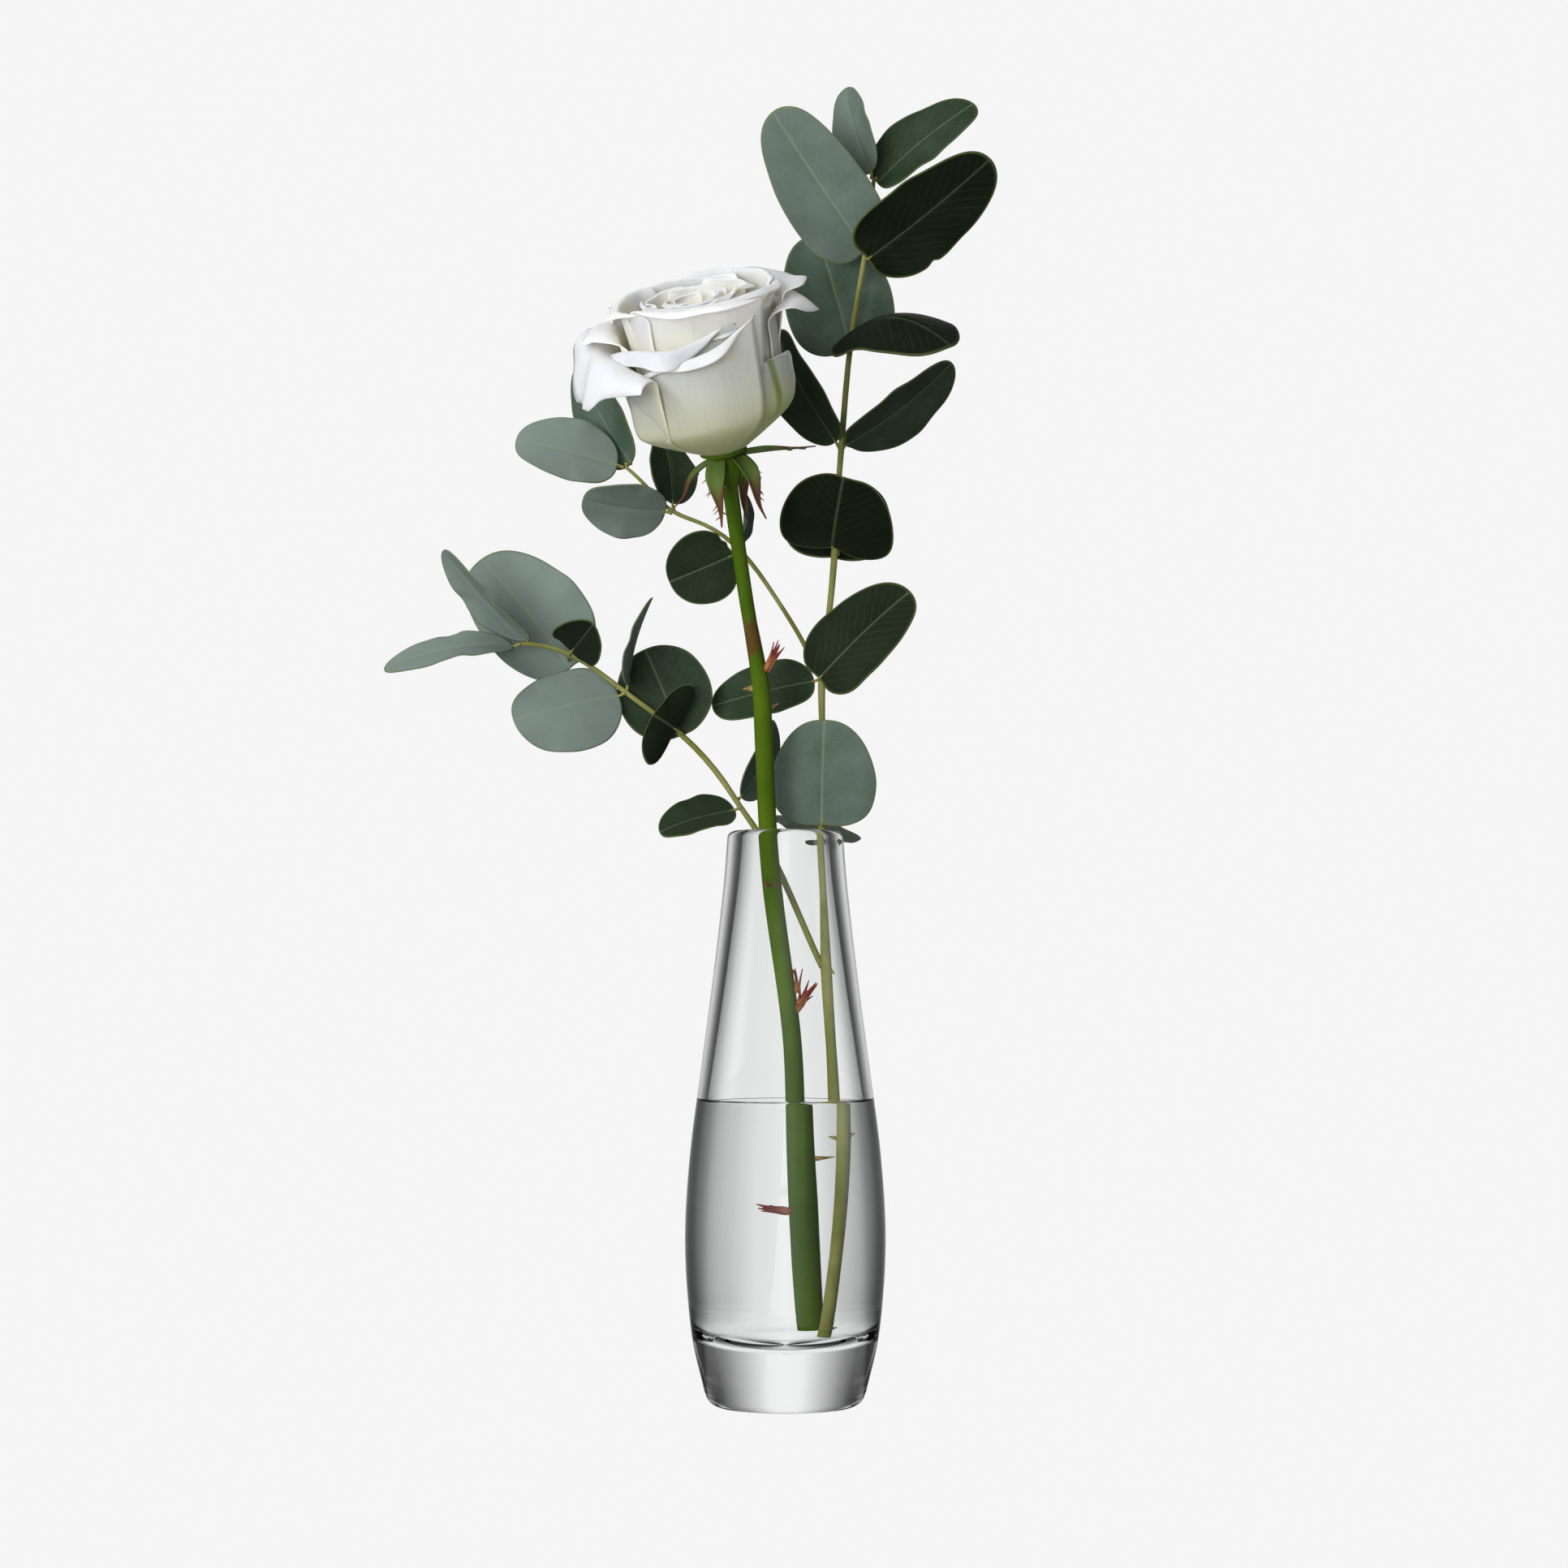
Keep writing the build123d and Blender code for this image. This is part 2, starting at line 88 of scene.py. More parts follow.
# A sepal's teeth: how many there are, between which of its steps they stand, and their lengths in mm.
SEPAL_STEPS = 40
TEETH = 9
TOOTH_STEPS = (8, 36)
TOOTH_LENGTHS = (1.2, 2.8)
# The longest tuft, in mm, whose scales are still narrowed.
NARROWED_TUFT = 8
# Marks on the rose's stem: a brown scar and the ring where a leaf fell, by height.
SCAR_HEIGHT = 0.2275
RING_HEIGHT = 0.1535

# How bright the paper is, and how much of that reaches soft surfaces and the mirrors of polished ones.
PAPER_WHITE = 0.915
FILL_SHARE = 0.9
MIRROR_SHARE = 0.6
MIRROR_FRONT_SHARE = 0.06
FLOOR_RINGS = (0.0, 0.2, 0.6, 1.5, 4.0)
# Brightness by the sine of the angle from the Y axis.
SURROUND = [
    (0.0, 1.0), (0.13, 0.97), (0.31, 0.6), (0.48, 0.3),
    (0.64, 0.11), (0.8, 0.035), (0.93, 0.05), (0.99, 0.9),
]
OBJECT_MIDDLE = (-0.02, 0.0, 0.27)
# Each lamp: place, width and height, and watts.
LAMPS = {
    "key": ((-0.9, -0.95, 0.7), (0.55, 0.8), 10.5),
    "top": ((-0.3, -0.15, 1.1), (0.5, 0.5), 2.0),
    "low": ((-0.45, -1.1, 0.12), (0.6, 0.4), 10.5),
}
# The one source of every random draw.
random = np.random.default_rng(7)


# ---------------------------------------------------------------- shader helpers
class Wire:
    """A shader value that can be used in Python sums: each operator adds its own Math node."""

    def __init__(self, tree, socket):
        self.tree = tree
        self.socket = socket

    def node(self, kind, settings=None, inputs=None, output=0):
        """A new node: its settings are set first, then its sockets take values or links."""
        made = self.tree.nodes.new(kind)
        for name, value in (settings or {}).items():
            if name == "stops":
                fill_ramp(made.color_ramp, value)
            else:
                setattr(made, name, value)
        for name, value in (inputs or {}).items():
            target = made.inputs[name]
            if isinstance(value, Wire):
                self.tree.links.new(value.socket, target)
            else:
                target.default_value = value
        return Wire(self.tree, made.outputs[output])

    def other(self, output):
        """Another output of the node that this value comes from."""
        return Wire(self.tree, self.socket.node.outputs[output])

    def maths(self, operation, first, second=0.0):
        """One Math node on two values."""
        return self.node("ShaderNodeMath", {"operation": operation}, {0: first, 1: second})

    def __add__(self, other):
        return self.maths("ADD", self, other)

    __radd__ = __add__

    def __mul__(self, other):
        return self.maths("MULTIPLY", self, other)

    __rmul__ = __mul__

    def __sub__(self, other):
        return self.maths("SUBTRACT", self, other)

    def __rsub__(self, other):
        return self.maths("SUBTRACT", other, self)

    def __pow__(self, other):
        return self.maths("POWER", self, other)

    def size(self):
        """The value without its sign."""
        return self.maths("ABSOLUTE", self)

    def between(self, low, high):
        """0 below low, 1 above high and a smooth step from one to the other."""
        settings = {"interpolation_type": "SMOOTHSTEP"}
        return self.node("ShaderNodeMapRange", settings, {"Value": self, "From Min": low, "From Max": high})

    def colours(self, low, high):
        """A colour mixed from low to high by this value."""
        return self.node("ShaderNodeMix", {"data_type": "RGBA"}, {0: self, 6: low, 7: high}, 2)


def fill_ramp(ramp, stops):
    """Gives a colour ramp its stops, as (place, colour) pairs."""
    while len(ramp.elements) < len(stops):
        ramp.elements.new(1.0)
    for element, (place, colour) in zip(ramp.elements, stops):
        element.position = place
        element.color = colour


def rgb(red, green, blue):
    """A colour with its alpha."""
    return (red, green, blue, 1.0)


class Finish:
    """A material with its node tree, one Principled shader and the usual coordinates."""

    def __init__(self, name, **sockets):
        self.material = bpy.data.materials.new(name)
        self.material.use_nodes = True
        self.tree = self.material.node_tree
        self.shader = self.tree.nodes["Principled BSDF"]
        self.output = self.tree.nodes["Material Output"]
        self.start = Wire(self.tree, None)
        for socket, value in sockets.items():
            self.shader.inputs[socket.replace("_", " ")].default_value = value

    def place(self):
        """The point on the piece, where it lies at rest."""
        return self.start.node("ShaderNodeTexCoord", output=3)

    def map(self):
        """The piece's own map, as one vector."""
        return self.start.node("ShaderNodeTexCoord", output=2)

    def uv(self):
        """The piece's own map, as two values."""
        along = self.start.node("ShaderNodeSeparateXYZ", inputs={0: self.map()})
        return along, along.other(1)

    def attribute(self, name):
        """A number that the piece carries, by its name."""
        return self.start.node("ShaderNodeAttribute", {"attribute_name": name}, output=2)

    def noise(self, scale, detail=3.0, roughness=0.55, vector=None):
        """Smooth random variation, about 0.5."""
        inputs = {"Scale": scale, "Detail": detail, "Roughness": roughness}
        inputs["Vector"] = vector if vector is not None else self.place()
        return self.start.node("ShaderNodeTexNoise", {}, inputs)

    def stretch(self, vector, x, y, z):
        """The same place, with each axis scaled."""
        return self.start.node("ShaderNodeMapping", {}, {"Vector": vector, "Scale": (x, y, z)})

    def feed(self, socket, value):
        """Links a value to one socket of the Principled shader."""
        self.tree.links.new(value.socket, self.shader.inputs[socket])

    def bump(self, height, strength, distance):
        """Raises the surface by a height value."""
        inputs = {"Height": height, "Strength": strength, "Distance": distance}
        self.feed("Normal", self.start.node("ShaderNodeBump", {}, inputs))

    def blend_with(self, factor, other):
        """Shows another shader where the factor is 1."""
        inputs = {0: factor, 1: Wire(self.tree, self.shader.outputs[0]), 2: other}
        mixed = self.start.node("ShaderNodeMixShader", {}, inputs)
        self.tree.links.new(mixed.socket, self.output.inputs["Surface"])


# ---------------------------------------------------------------- mesh helpers
def unit(vectors):
    """Vectors at length 1."""
    return vectors / np.linalg.norm(vectors, axis=-1, keepdims=True)


def grid_mesh(name, points, wrap=False, first_pole=False, last_pole=False, maps=None):
    """A mesh from a grid of points, rows by columns. Wrapped grids join their last column to the
    first, and a pole row becomes one point with a fan of triangles."""
    rows, columns = points.shape[:2]
    index = np.arange(rows * columns).reshape(rows, columns)
    if first_pole:
        index[0] = index[0, 0]
    if last_pole:
        index[-1] = index[-1, 0]
    near = index
    beside = np.roll(index, -1, axis=1)
    if not wrap:
        near = index[:, :-1]
        beside = index[:, 1:]
    quads = np.stack([near[:-1], beside[:-1], beside[1:], near[1:]], axis=-1)
    first = 1 if first_pole else 0
    last = rows - 2 if last_pole else rows - 1
    groups = [quads[first:last].reshape(-1, 4)]
    if first_pole:
        groups.append(quads[0][:, [0, 2, 3]])
    if last_pole:
        groups.append(quads[-1][:, [0, 1, 2]])
    flat = points.reshape(-1, 3)
    used = np.unique(np.concatenate([group.ravel() for group in groups]))
    renumber = np.zeros(len(flat), int)
    renumber[used] = np.arange(len(used))
    faces = sum([renumber[group].tolist() for group in groups], [])
    mesh = bpy.data.meshes.new(name)
    mesh.from_pydata(flat[used].tolist(), [], faces)
    if maps is not None:
        corners = np.empty(len(mesh.loops), int)
        mesh.loops.foreach_get("vertex_index", corners)
        layer = mesh.uv_layers.new(name="UVMap")
        layer.data.foreach_set("uv", maps.reshape(-1, 2)[used][corners].astype(np.float32).ravel())
    mesh.shade_smooth()
    mesh.update()
    return mesh


def sheets_mesh(name, sheets):
    """One mesh from several open grids, each given as (points, maps)."""
    vertices, faces, maps = [], [], []
    count = 0
    for points, map_points in sheets:
        rows, columns = points.shape[:2]
        index = count + np.arange(rows * columns).reshape(rows, columns)
        quads = np.stack([index[:-1, :-1], index[:-1, 1:], index[1:, 1:], index[1:, :-1]], axis=-1)
        vertices.append(points.reshape(-1, 3))
        maps.append(map_points.reshape(-1, 2))
        faces.append(quads.reshape(-1, 4))
        count += rows * columns
    faces = np.concatenate(faces)
    mesh = bpy.data.meshes.new(name)
    mesh.from_pydata(np.concatenate(vertices).tolist(), [], faces.tolist())
    layer = mesh.uv_layers.new(name="UVMap")
    layer.data.foreach_set("uv", np.concatenate(maps)[faces.ravel()].astype(np.float32).ravel())
    mesh.shade_smooth()
    mesh.update()
    return mesh


def piece(name, mesh, body, slot, finish, replaced=(), thickness=0.0, **values):
    """Puts a finished mesh in the scene as a piece of one body, with its finish and its own numbers."""
    made = bpy.data.objects.new(name, mesh)
    bpy.context.scene.collection.objects.link(made)
    mesh.materials.append(finish)
    for key, value in values.items():
        numbers = mesh.attributes.new(key, "FLOAT", "POINT")
        numbers.data.foreach_set("value", np.full(len(mesh.vertices), value, np.float32))
    if thickness:
        wall = made.modifiers.new("wall", "SOLIDIFY")
        wall.thickness = thickness
        wall.offset = 0.0
    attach(made, body)
    if replaced:
        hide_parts(*replaced)


def curve_through(points, count):
    """Points evenly spread along a smooth line through a few given points: a cubic Hermite curve whose
    slope at each point is half the step between its neighbours."""
    points = np.asarray(points, float)
    before = np.vstack([2 * points[0] - points[1], points[:-1]])
    after = np.vstack([points[1:], 2 * points[-1] - points[-2]])
    slopes = (after - before) / 2
    place = np.linspace(0, len(points) - 1, count)
    left = np.minimum(place.astype(int), len(points) - 2)
    t = (place - left)[:, None]
    a, b = points[left], points[left + 1]
    sa, sb = slopes[left], slopes[left + 1]
    start = (1 + 2 * t) * (1 - t) ** 2 * a + t * (1 - t) ** 2 * sa
    return start + t * t * (3 - 2 * t) * b + t * t * (t - 1) * sb


def lathe(profile, around):
    """A profile of (radius, height) turned round the Z axis: x = r cos a, y = r sin a, z = height."""
    angle = np.linspace(0, 2 * math.pi, around, endpoint=False)
    r, z = profile[:, 0][:, None], profile[:, 1][:, None]
    return np.stack([r * np.cos(angle), r * np.sin(angle), z + 0 * angle], axis=-1)


def tube_grid(path, radii, around=12):
    """A round tube along a path: each ring stands square to the path, in a frame that doesn't twist."""
    path = np.asarray(path, float)
    along = unit(np.gradient(path, axis=0))
    side = unit(np.cross(along, unit(np.array([0.31, 0.94, 0.12]))))
    up = np.cross(along, side)
    angle = np.linspace(0, 2 * math.pi, around, endpoint=False)
    ring = np.cos(angle)[None, :, None] * side[:, None] + np.sin(angle)[None, :, None] * up[:, None]
    return path[:, None] + ring * np.asarray(radii, float)[:, None, None]


def node_points(name):
    """The vertices of a CAD node, where they lie at rest."""
    mesh = nodes[name].data
    points = np.empty(len(mesh.vertices) * 3)
    mesh.vertices.foreach_get("co", points)
    return points.reshape(-1, 3)


# ---------------------------------------------------------------- camera, light and stage
def make_camera():
    """The camera stands in front of the vase, below its rim, and looks up a little."""
    camera = bpy.data.objects.new("camera", bpy.data.cameras.new("camera"))
    bpy.context.scene.collection.objects.link(camera)
    camera.data.lens = CAMERA_LENS
    camera.data.sensor_width = SENSOR_WIDTH
    camera.data.clip_start = 0.02
    camera.location = CAMERA_PLACE
    way = unit(np.array(CAMERA_AIM) - np.array(CAMERA_PLACE))
    camera.rotation_euler = (math.pi / 2 + math.asin(way[2]), 0.0, math.atan2(-way[0], way[1]))
    bpy.context.scene.camera = camera


def make_light(name, place, size, power):
    """A white rectangular soft light at a place, turned to face the object. It isn't mirrored in glass."""
    data = bpy.data.lights.new(name, "AREA")
    data.shape = "RECTANGLE"
    data.size, data.size_y = size
    data.energy = power
    lamp = bpy.data.objects.new(name, data)
    bpy.context.scene.collection.objects.link(lamp)
    lamp.location = place
    lamp.visible_glossy = False
    lamp.visible_transmission = False
    way = unit(np.array(OBJECT_MIDDLE) - np.array(place))
    lamp.rotation_euler = (math.acos(-way[2]), 0.0, math.atan2(-way[0], way[1]))


def surround(start, towards):
    """How bright the studio is in a direction: bright behind and in front, dark at the flags that stand
    half way to each side, and bright again square to the sides. The value runs on the sine of the angle
    from the Y axis. Polished surfaces mirror less of the front than of the back. The camera itself sees
    plain even paper."""
    x = start.node("ShaderNodeSeparateXYZ", inputs={0: towards})
    y = x.other(1)
    length = (x * x + y * y) ** 0.5
    inverse = (length + 1e-6) ** -1.0
    sine = x.size() * inverse
    stops = [(place, rgb(tone, tone, tone)) for place, tone in SURROUND]
    fall = start.node("ShaderNodeValToRGB", {"stops": stops}, {0: sine})
    seen = start.node("ShaderNodeLightPath", output=0)
    soft = start.node("ShaderNodeLightPath", output=2)
    mirrored = start.node("ShaderNodeLightPath", output=3) * start.node("ShaderNodeLightPath", output=5)
    bright = start.node("ShaderNodeSeparateXYZ", inputs={0: fall})
    forward = (0.0 - y * inverse).between(-0.1, 0.5)
    mirror_share = MIRROR_SHARE - forward * (MIRROR_SHARE - MIRROR_FRONT_SHARE)
    dimmed = (1.0 - soft * (1.0 - FILL_SHARE)) * (1.0 - mirrored * (1.0 - mirror_share))
    plain = bright * PAPER_WHITE * dimmed
    return seen * (PAPER_WHITE - plain) + plain


def make_stage():
    """A round floor of pale paper that shows the same even tone as the air round it."""
    finish = Finish("pale_paper", Roughness=1.0)
    strength = surround(finish.start, finish.place())
    glowing = finish.start.node("ShaderNodeEmission", {}, {"Strength": strength})
    finish.tree.links.new(glowing.socket, finish.output.inputs["Surface"])
    distance = np.array(FLOOR_RINGS)
    rings = lathe(np.stack([distance, 0 * distance], axis=-1), around=48)
    mesh = grid_mesh("floor", rings[::-1], wrap=True, last_pole=True)
    mesh.materials.append(finish.material)
    floor = bpy.data.objects.new("floor", mesh)
    bpy.context.scene.collection.objects.link(floor)


def make_world():
    """The air round the studio carries the same light as the floor."""
    world = bpy.data.worlds.new("studio")
    world.use_nodes = True
    bpy.context.scene.world = world
    start = Wire(world.node_tree, None)
    towards = start.node("ShaderNodeTexCoord", output=0)
    shine = surround(start, towards)
    background = world.node_tree.nodes["Background"]
    background.inputs["Color"].default_value = rgb(1.0, 1.0, 1.0)
    world.node_tree.links.new(shine.socket, background.inputs["Strength"])


def make_studio():
    """Camera, floor, air and lamps: a large key at the upper left, a low one in front and one above."""
    make_camera()
    make_stage()
    make_world()
    for name, (place, size, power) in LAMPS.items():
        make_light(name, place, size, power)
    scene = bpy.context.scene
    scene.view_settings.view_transform = "Standard"
    scene.view_settings.look = "None"


# ---------------------------------------------------------------- finishes
# Leaf colour from bare dark green to pale blue-green, by one number that holds both the leaf's waxy bloom
# and painted shade: the darkest end is as deep as a leaf lying in shade.
LEAF_WAX_AND_SHADE_TONES = [
    (0.0, rgb(0.006, 0.009, 0.004)),
    (0.3, rgb(0.018, 0.031, 0.0145)),
    (0.6, rgb(0.05, 0.08, 0.054)),
    (1.0, rgb(0.165, 0.21, 0.19)),
]
LEAF_VEIN = rgb(0.2, 0.26, 0.15)
LEAF_MARGIN = rgb(0.12, 0.15, 0.045)
# Side veins of a leaf: how many stand along it, how steeply they slant and how much they wander.
SIDE_VEINS = 11.0
VEIN_SLANT = 9.0
VEIN_WANDER = 1.1

STEM_DARK = rgb(0.035, 0.075, 0.002)
STEM_GREEN = rgb(0.07, 0.125, 0.004)
STEM_FIBRE = rgb(0.1, 0.15, 0.025)
STEM_BLUSH = rgb(0.09, 0.04, 0.01)
STEM_SCAR = rgb(0.085, 0.035, 0.012)
STEM_RING = rgb(0.1, 0.07, 0.03)

TWIG_GREEN = rgb(0.15, 0.16, 0.035)
TWIG_PALE = rgb(0.24, 0.24, 0.08)
TWIG_BROWN = rgb(0.14, 0.09, 0.04)

PETAL_WHITE = rgb(0.865, 0.855, 0.815)
PETAL_CREAM = rgb(0.8, 0.79, 0.36)
PETAL_GREEN = rgb(0.5, 0.58, 0.2)
PETAL_VEIN = rgb(0.66, 0.7, 0.42)
PETAL_STREAK = rgb(0.17, 0.26, 0.03)

SEPAL_GREEN = rgb(0.07, 0.125, 0.022)
SEPAL_PALE = rgb(0.14, 0.2, 0.055)
SEPAL_TIP = rgb(0.1, 0.038, 0.02)
BUD_RED = rgb(0.3, 0.06, 0.035)
BUD_TAN = rgb(0.36, 0.2, 0.08)
BUD_TIP = rgb(0.2, 0.035, 0.03)
THORN_BROWN = rgb(0.2, 0.09, 0.04)
THORN_TAN = rgb(0.3, 0.26, 0.09)

GLASS_IOR = 1.5
GLASS_TINT = rgb(0.99, 1.0, 0.995)
WATER_IOR = 1.333
WATER_TINT = rgb(0.995, 1.0, 1.0)
SHADOW_TINT = rgb(0.94, 0.95, 0.95)


def clear_finish(name, ior, tint):
    """Clear glass or water. Rays from lamps pass straight through it, so that it throws no hard shade."""
    finish = Finish(name, Roughness=0.0, IOR=ior, Transmission_Weight=1.0, Base_Color=tint)
    shadow = finish.start.node("ShaderNodeLightPath", output=1)
    open_way = finish.start.node("ShaderNodeBsdfTransparent", {}, {"Color": SHADOW_TINT})
    finish.blend_with(shadow, open_way)
    return finish.material


def leaf_finish():
    """Leathery eucalyptus leaf: a pale blue waxy bloom over dark green, as much of it as the leaf carries,
    with painted shade in the same number, so that leaves lying in shade are given little bloom and come out
    dark.
    A pale midrib with faint side veins, fine speckle, and a thin yellow-green margin."""
    finish = Finish("eucalyptus_leaf", Roughness=0.5, Specular_IOR_Level=0.22)
    u, v = finish.uv()
    # This number holds the leaf's waxy bloom and painted shade together: shaded leaves get a low value and
    # so a darker colour.
    tone = finish.attribute("wax")
    speckle = finish.noise(1500.0, 4.0, 0.75)
    patches = finish.noise(75.0, 3.0, 0.55)
    across = (v - 0.5).size()
    midrib = 1.0 - across.between(0.004, 0.022)
    wobble = finish.noise(140.0, 2.0, 0.5)
    slant = u * SIDE_VEINS - across * VEIN_SLANT + wobble * VEIN_WANDER
    vein_wave = finish.start.node("ShaderNodeMath", {"operation": "PINGPONG"}, {0: slant, 1: 0.5})
    side_veins = (1.0 - vein_wave.between(0.0, 0.09)) * (1.0 - across.between(0.3, 0.42))
    rim = finish.attribute("edge").between(0.955, 0.99)
    amount = (tone + (patches - 0.5) * 0.22 + (speckle - 0.5) * 0.12).between(0.0, 1.0)
    body = finish.start.node("ShaderNodeValToRGB", {"stops": LEAF_WAX_AND_SHADE_TONES}, {0: amount})
    veined = (midrib * 0.36 + side_veins * 0.09) * (0.35 + tone * 0.9)
    pale = veined.colours(body, LEAF_VEIN)
    edged = (rim * 0.55).colours(pale, LEAF_MARGIN)
    finish.feed("Base Color", edged)
    finish.feed("Roughness", 0.4 + speckle * 0.14 + tone * 0.12)
    relief = side_veins * 0.12 + midrib * 0.5 + speckle * 0.15 + patches * 0.6
    finish.bump(relief, 0.4, 0.3 * MM)
    return finish.material


def stem_finish():
    """Rose stem: mid green with darker and redder stretches, lengthwise fibres, a brown scar and the
    ring left by a leaf."""
    finish = Finish("rose_stem", Roughness=0.45, Specular_IOR_Level=0.15)
    along = finish.stretch(finish.place(), 900.0, 900.0, 45.0)
    fibres = finish.noise(1.0, 3.0, 0.6, along)
    patches = finish.noise(28.0, 3.0, 0.5)
    base = patches.between(0.35, 0.7).colours(STEM_DARK, STEM_GREEN)
    streaked = (fibres.between(0.55, 0.75) * 0.35).colours(base, STEM_FIBRE)
    blush = finish.noise(13.0, 2.0, 0.5).between(0.62, 0.74) * 0.35
    blushed = blush.colours(streaked, STEM_BLUSH)
    height = finish.start.node("ShaderNodeSeparateXYZ", inputs={0: finish.place()}, output=2)
    ragged = fibres - 0.5
    from_scar = (height - SCAR_HEIGHT + ragged * (12.0 * MM)).size()
    from_ring = (height - RING_HEIGHT + ragged * (1.0 * MM)).size()
    scar = 1.0 - from_scar.between(3.5 * MM, 6.5 * MM)
    ring = 1.0 - from_ring.between(0.3 * MM, 0.9 * MM)
    marked = (scar * fibres.between(0.35, 0.5) * 0.85).colours(blushed, STEM_SCAR)
    finish.feed("Base Color", (ring * 0.7).colours(marked, STEM_RING))
    finish.bump(fibres, 0.25, 0.2 * MM)
    return finish.material


def twig_finish():
    """Eucalyptus twig: pale yellow-green with lengthwise fibres and brown flecks."""
    finish = Finish("eucalyptus_twig", Roughness=0.55, Specular_IOR_Level=0.35)
    along = finish.stretch(finish.place(), 1100.0, 1100.0, 90.0)
    fibres = finish.noise(1.0, 3.0, 0.6, along)
    patches = finish.noise(70.0, 3.0, 0.5)
    base = patches.between(0.35, 0.7).colours(TWIG_GREEN, TWIG_PALE)
    flecked = (fibres.between(0.58, 0.7) * 0.5).colours(base, TWIG_BROWN)
    finish.feed("Base Color", flecked)
    finish.bump(fibres, 0.3, 0.15 * MM)
    return finish.material


def petal_finish():
    """Soft white petal: cream in the folds and green towards the foot, more so on the guard petals,
    fine veins that fan out to the lip, a green streak where the petal carries one, and light through it."""
    finish = Finish(
        "rose_petal", Roughness=0.5, Specular_IOR_Level=0.25,
        Subsurface_Weight=0.8, Subsurface_Radius=(1.0, 0.95, 0.7), Subsurface_Scale=4.0 * MM,
    )
    u, v = finish.uv()
    warmth = finish.attribute("warmth")
    streak = finish.attribute("streak")
    fan = finish.noise(1.0, 3.0, 0.6, finish.stretch(finish.map(), 2.5, 55.0, 1.0))
    fine = finish.noise(1.0, 3.0, 0.6, finish.stretch(finish.map(), 9.0, 160.0, 1.0))
    foot = 1.0 - u.between(0.12, 0.9)
    blotch = finish.noise(55.0, 3.0, 0.6)
    tinted = (foot * (0.75 + blotch * 0.5)).colours(PETAL_WHITE, PETAL_CREAM)
    greened = (foot * foot * warmth * (0.5 + fan)).colours(tinted, PETAL_GREEN)
    vein = fan.between(0.48, 0.75) * foot.between(0.0, 0.6) * 0.3
    veined = vein.colours(greened, PETAL_VEIN)
    wander = (v - 0.5 + (fan - 0.5) * 0.1).size()
    line = (1.0 - wander.between(0.01, 0.075)) * u.between(0.2, 0.45) * (1.0 - u.between(0.75, 0.95))
    streaked = (line * streak * (0.5 + fine * 0.8)).colours(veined, PETAL_STREAK)
    finish.feed("Base Color", streaked)
    finish.bump(fan * 0.9 + fine * 0.3 + blotch * 2.5, 0.3, 0.5 * MM)
    return finish.material


def green_finish(name, low, high, tip, scale=60.0):
    """Soft green tissue that turns brown or red towards its tip, with lengthwise veins."""
    finish = Finish(name, Roughness=0.55, Specular_IOR_Level=0.3)
    u, v = finish.uv()
    fibres = finish.noise(1.0, 3.0, 0.6, finish.stretch(finish.map(), 2.0, 40.0, 1.0))
    patches = finish.noise(scale, 3.0)
    base = patches.between(0.3, 0.7).colours(low, high)
    brown = (u + patches * 0.6 + (v - 0.5).size() * 0.25).between(0.72, 1.05)
    finish.feed("Base Color", brown.colours(base, tip))
    finish.bump(fibres, 0.3, 0.2 * MM)
    return finish.material


def speckled_finish(name, low, high, scale):
    """Woody tissue: two colours in patches with a fine grain."""
    finish = Finish(name, Roughness=0.6, Specular_IOR_Level=0.3)
    patches = finish.noise(scale, 4.0, 0.6)
    finish.feed("Base Color", patches.between(0.35, 0.65).colours(low, high))
    finish.bump(finish.noise(scale * 6.0, 3.0), 0.4, 0.2 * MM)
    return finish.material


# ---------------------------------------------------------------- the vase and the water
# Outlines of the vase, as (radius, height) in mm: the flat foot and its rounded corner, the outer wall,
# the inner wall, and the bowl's floor from the foot of the inner wall in to the axis.
FOOT = [(0.0, 0.0), (6.0, 0.0), (12.0, 0.0), (17.5, 0.0)]
FOOT_CORNER = [(17.5, 0.0), (20.3, 0.35), (22.6, 1.75), (23.9, 4.6)]
OUTER_WALL = [
    (23.9, 4.6), (27.8, 22.0), (29.7, 48.0), (28.3, 74.0),
    (24.9, 100.5), (21.5, 126.5), (18.5, 152.6), (17.3, 167.75),
]
INNER_WALL = [
    (25.4, 29.0), (26.9, 48.0), (25.4, 74.0), (21.6, 100.5),
    (17.8, 126.5), (14.3, 152.6), (12.8, 167.75),
]
BOWL_FLOOR = [(25.4, 29.0), (24.2, 25.2), (21.4, 22.2), (16.0, 19.7), (9.0, 18.3), (0.0, 18.0)]


def profile_line(points, count):
    """A smooth line of (radius, height) through points given in mm."""
    return curve_through(np.array(points) * MM, count)


def make_glass(finish):
    """The vessel: flat foot, rounded corner, outer wall, half-round lip, inner wall and rounded bowl."""
    lip_turn = np.linspace(0, math.pi, 21)[1:-1]
    lip_radius = (RIM_OUTER - RIM_INNER) / 2
    lip_middle = (RIM_OUTER + RIM_INNER) / 2
    lip_r = lip_middle + lip_radius * np.cos(lip_turn)
    lip_z = VASE_HEIGHT - lip_radius + lip_radius * np.sin(lip_turn)
    profile = np.vstack([
        np.array(FOOT) * MM,
        profile_line(FOOT_CORNER, CORNER_STEPS)[1:],
        profile_line(OUTER_WALL, WALL_STEPS)[1:],
        np.stack([lip_r, lip_z], axis=-1),
        profile_line(INNER_WALL, WALL_STEPS)[::-1],
        profile_line(BOWL_FLOOR, BOWL_STEPS)[1:],
    ])
    turned = lathe(profile, GLASS_SPOKES)
    mesh = grid_mesh("glass", turned, wrap=True, first_pole=True, last_pole=True)
    piece("glass", mesh, "vase", "clear_glass", finish, ["glass_body"])


